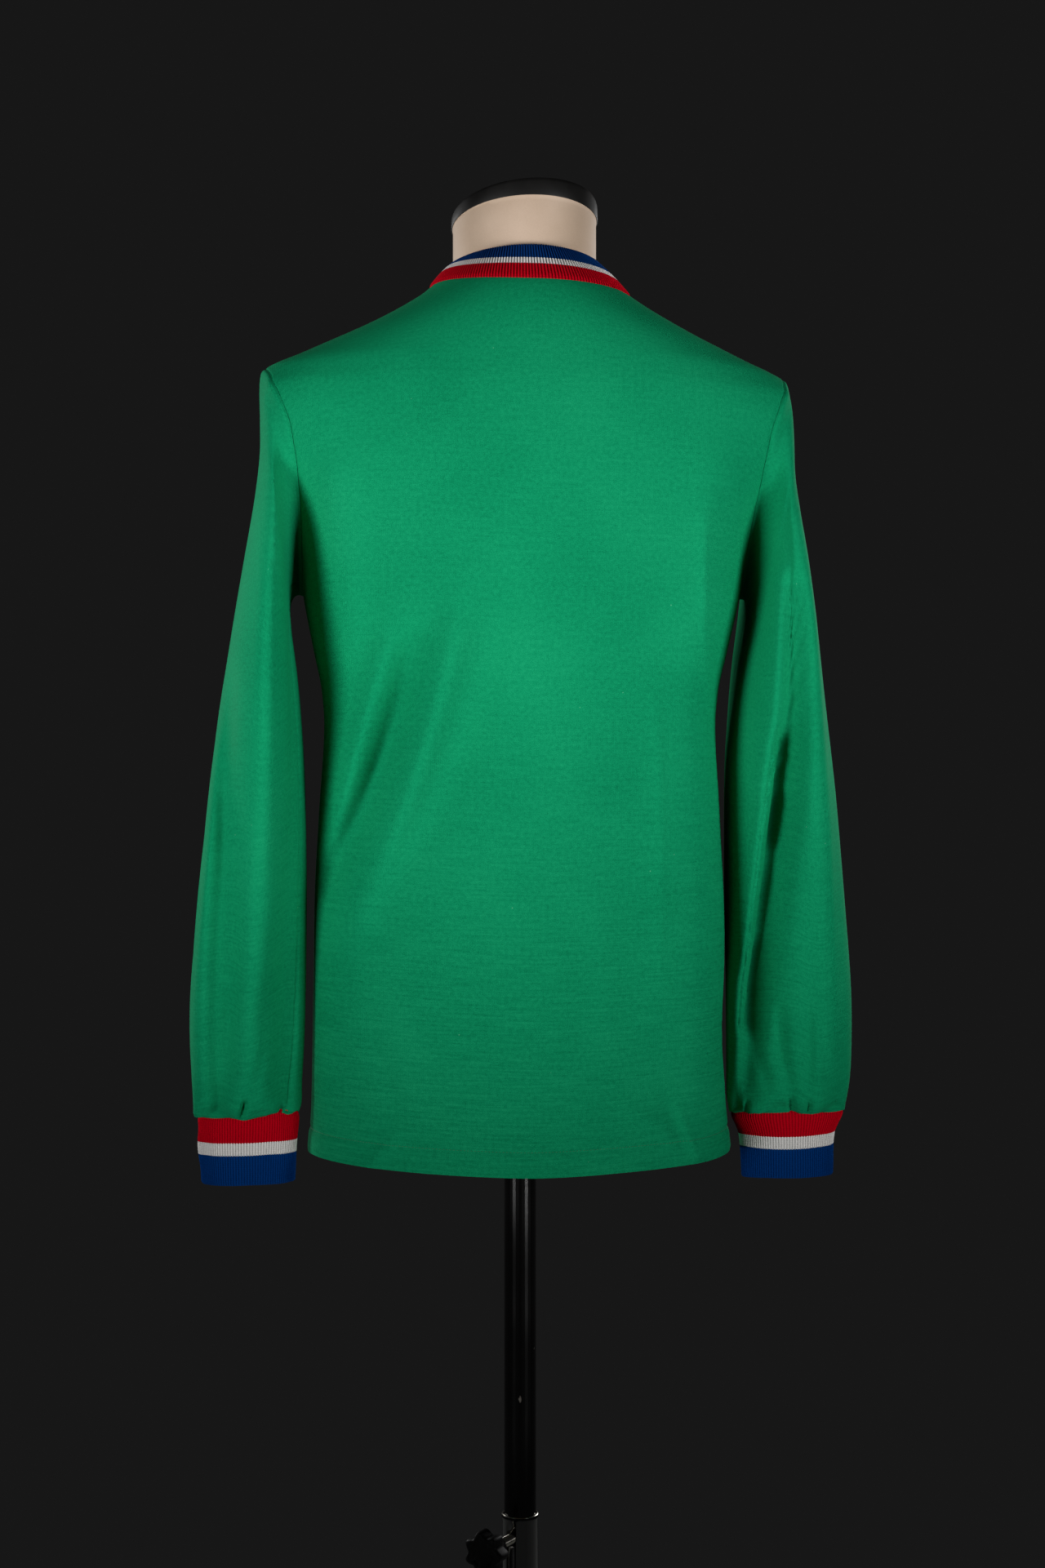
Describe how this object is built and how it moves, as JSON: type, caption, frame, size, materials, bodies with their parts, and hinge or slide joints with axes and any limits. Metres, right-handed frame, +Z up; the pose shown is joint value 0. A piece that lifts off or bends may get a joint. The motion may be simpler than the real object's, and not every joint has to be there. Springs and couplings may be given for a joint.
{
  "type": "football jersey on a dress form stand",
  "caption": "Long-sleeved green football jersey with striped rib neckband and cuffs, worn by a limbless dress form on a telescoping round-base stand.",
  "frame": {"origin": "middle of the base plate's underside, on the pole's axis", "axes": "+Z up along the pole; -Y is the way the jersey's back faces, +Y the front; +X is the wearer's right"},
  "size_m": [0.5185, 0.39, 1.5609],
  "materials": {
    "green_knit": "matte",
    "striped_rib": "matte",
    "cream_cover": "matte",
    "black_plastic": "satin",
    "black_paint": "gloss",
    "plated_steel": "satin"
  },
  "bodies": {
    "stand": {"base_plate": "black_paint", "outer_tube": "black_paint"},
    "pole": {"pole": "black_paint"},
    "form": {"dress_form": "cream_cover", "neck_cap": "black_plastic", "back_panel": "green_knit", "front_panel": "green_knit", "sleeve_left": "green_knit", "sleeve_right": "green_knit", "collar": "striped_rib", "cuff_left": "striped_rib", "cuff_right": "striped_rib"},
    "clamp": {"clamp_screw": "plated_steel", "clamp_knob": "black_plastic"}
  },
  "joints": [
    {"name": "pole_height", "type": "slide", "parent": "stand", "child": "pole", "axis": [0, 0, 1], "range_m": [-0.06, 0.3]},
    {"name": "form_turn", "type": "hinge", "parent": "pole", "child": "form", "pos_m": [0, 0, 0.9], "axis": [0, 0, 1], "continuous": true},
    {"name": "clamp_turn", "type": "hinge", "parent": "stand", "child": "clamp", "pos_m": [0, 0, 0.512], "axis": [-0.6157, -0.788, 0], "range_deg": [-720, 0]}
  ]
}
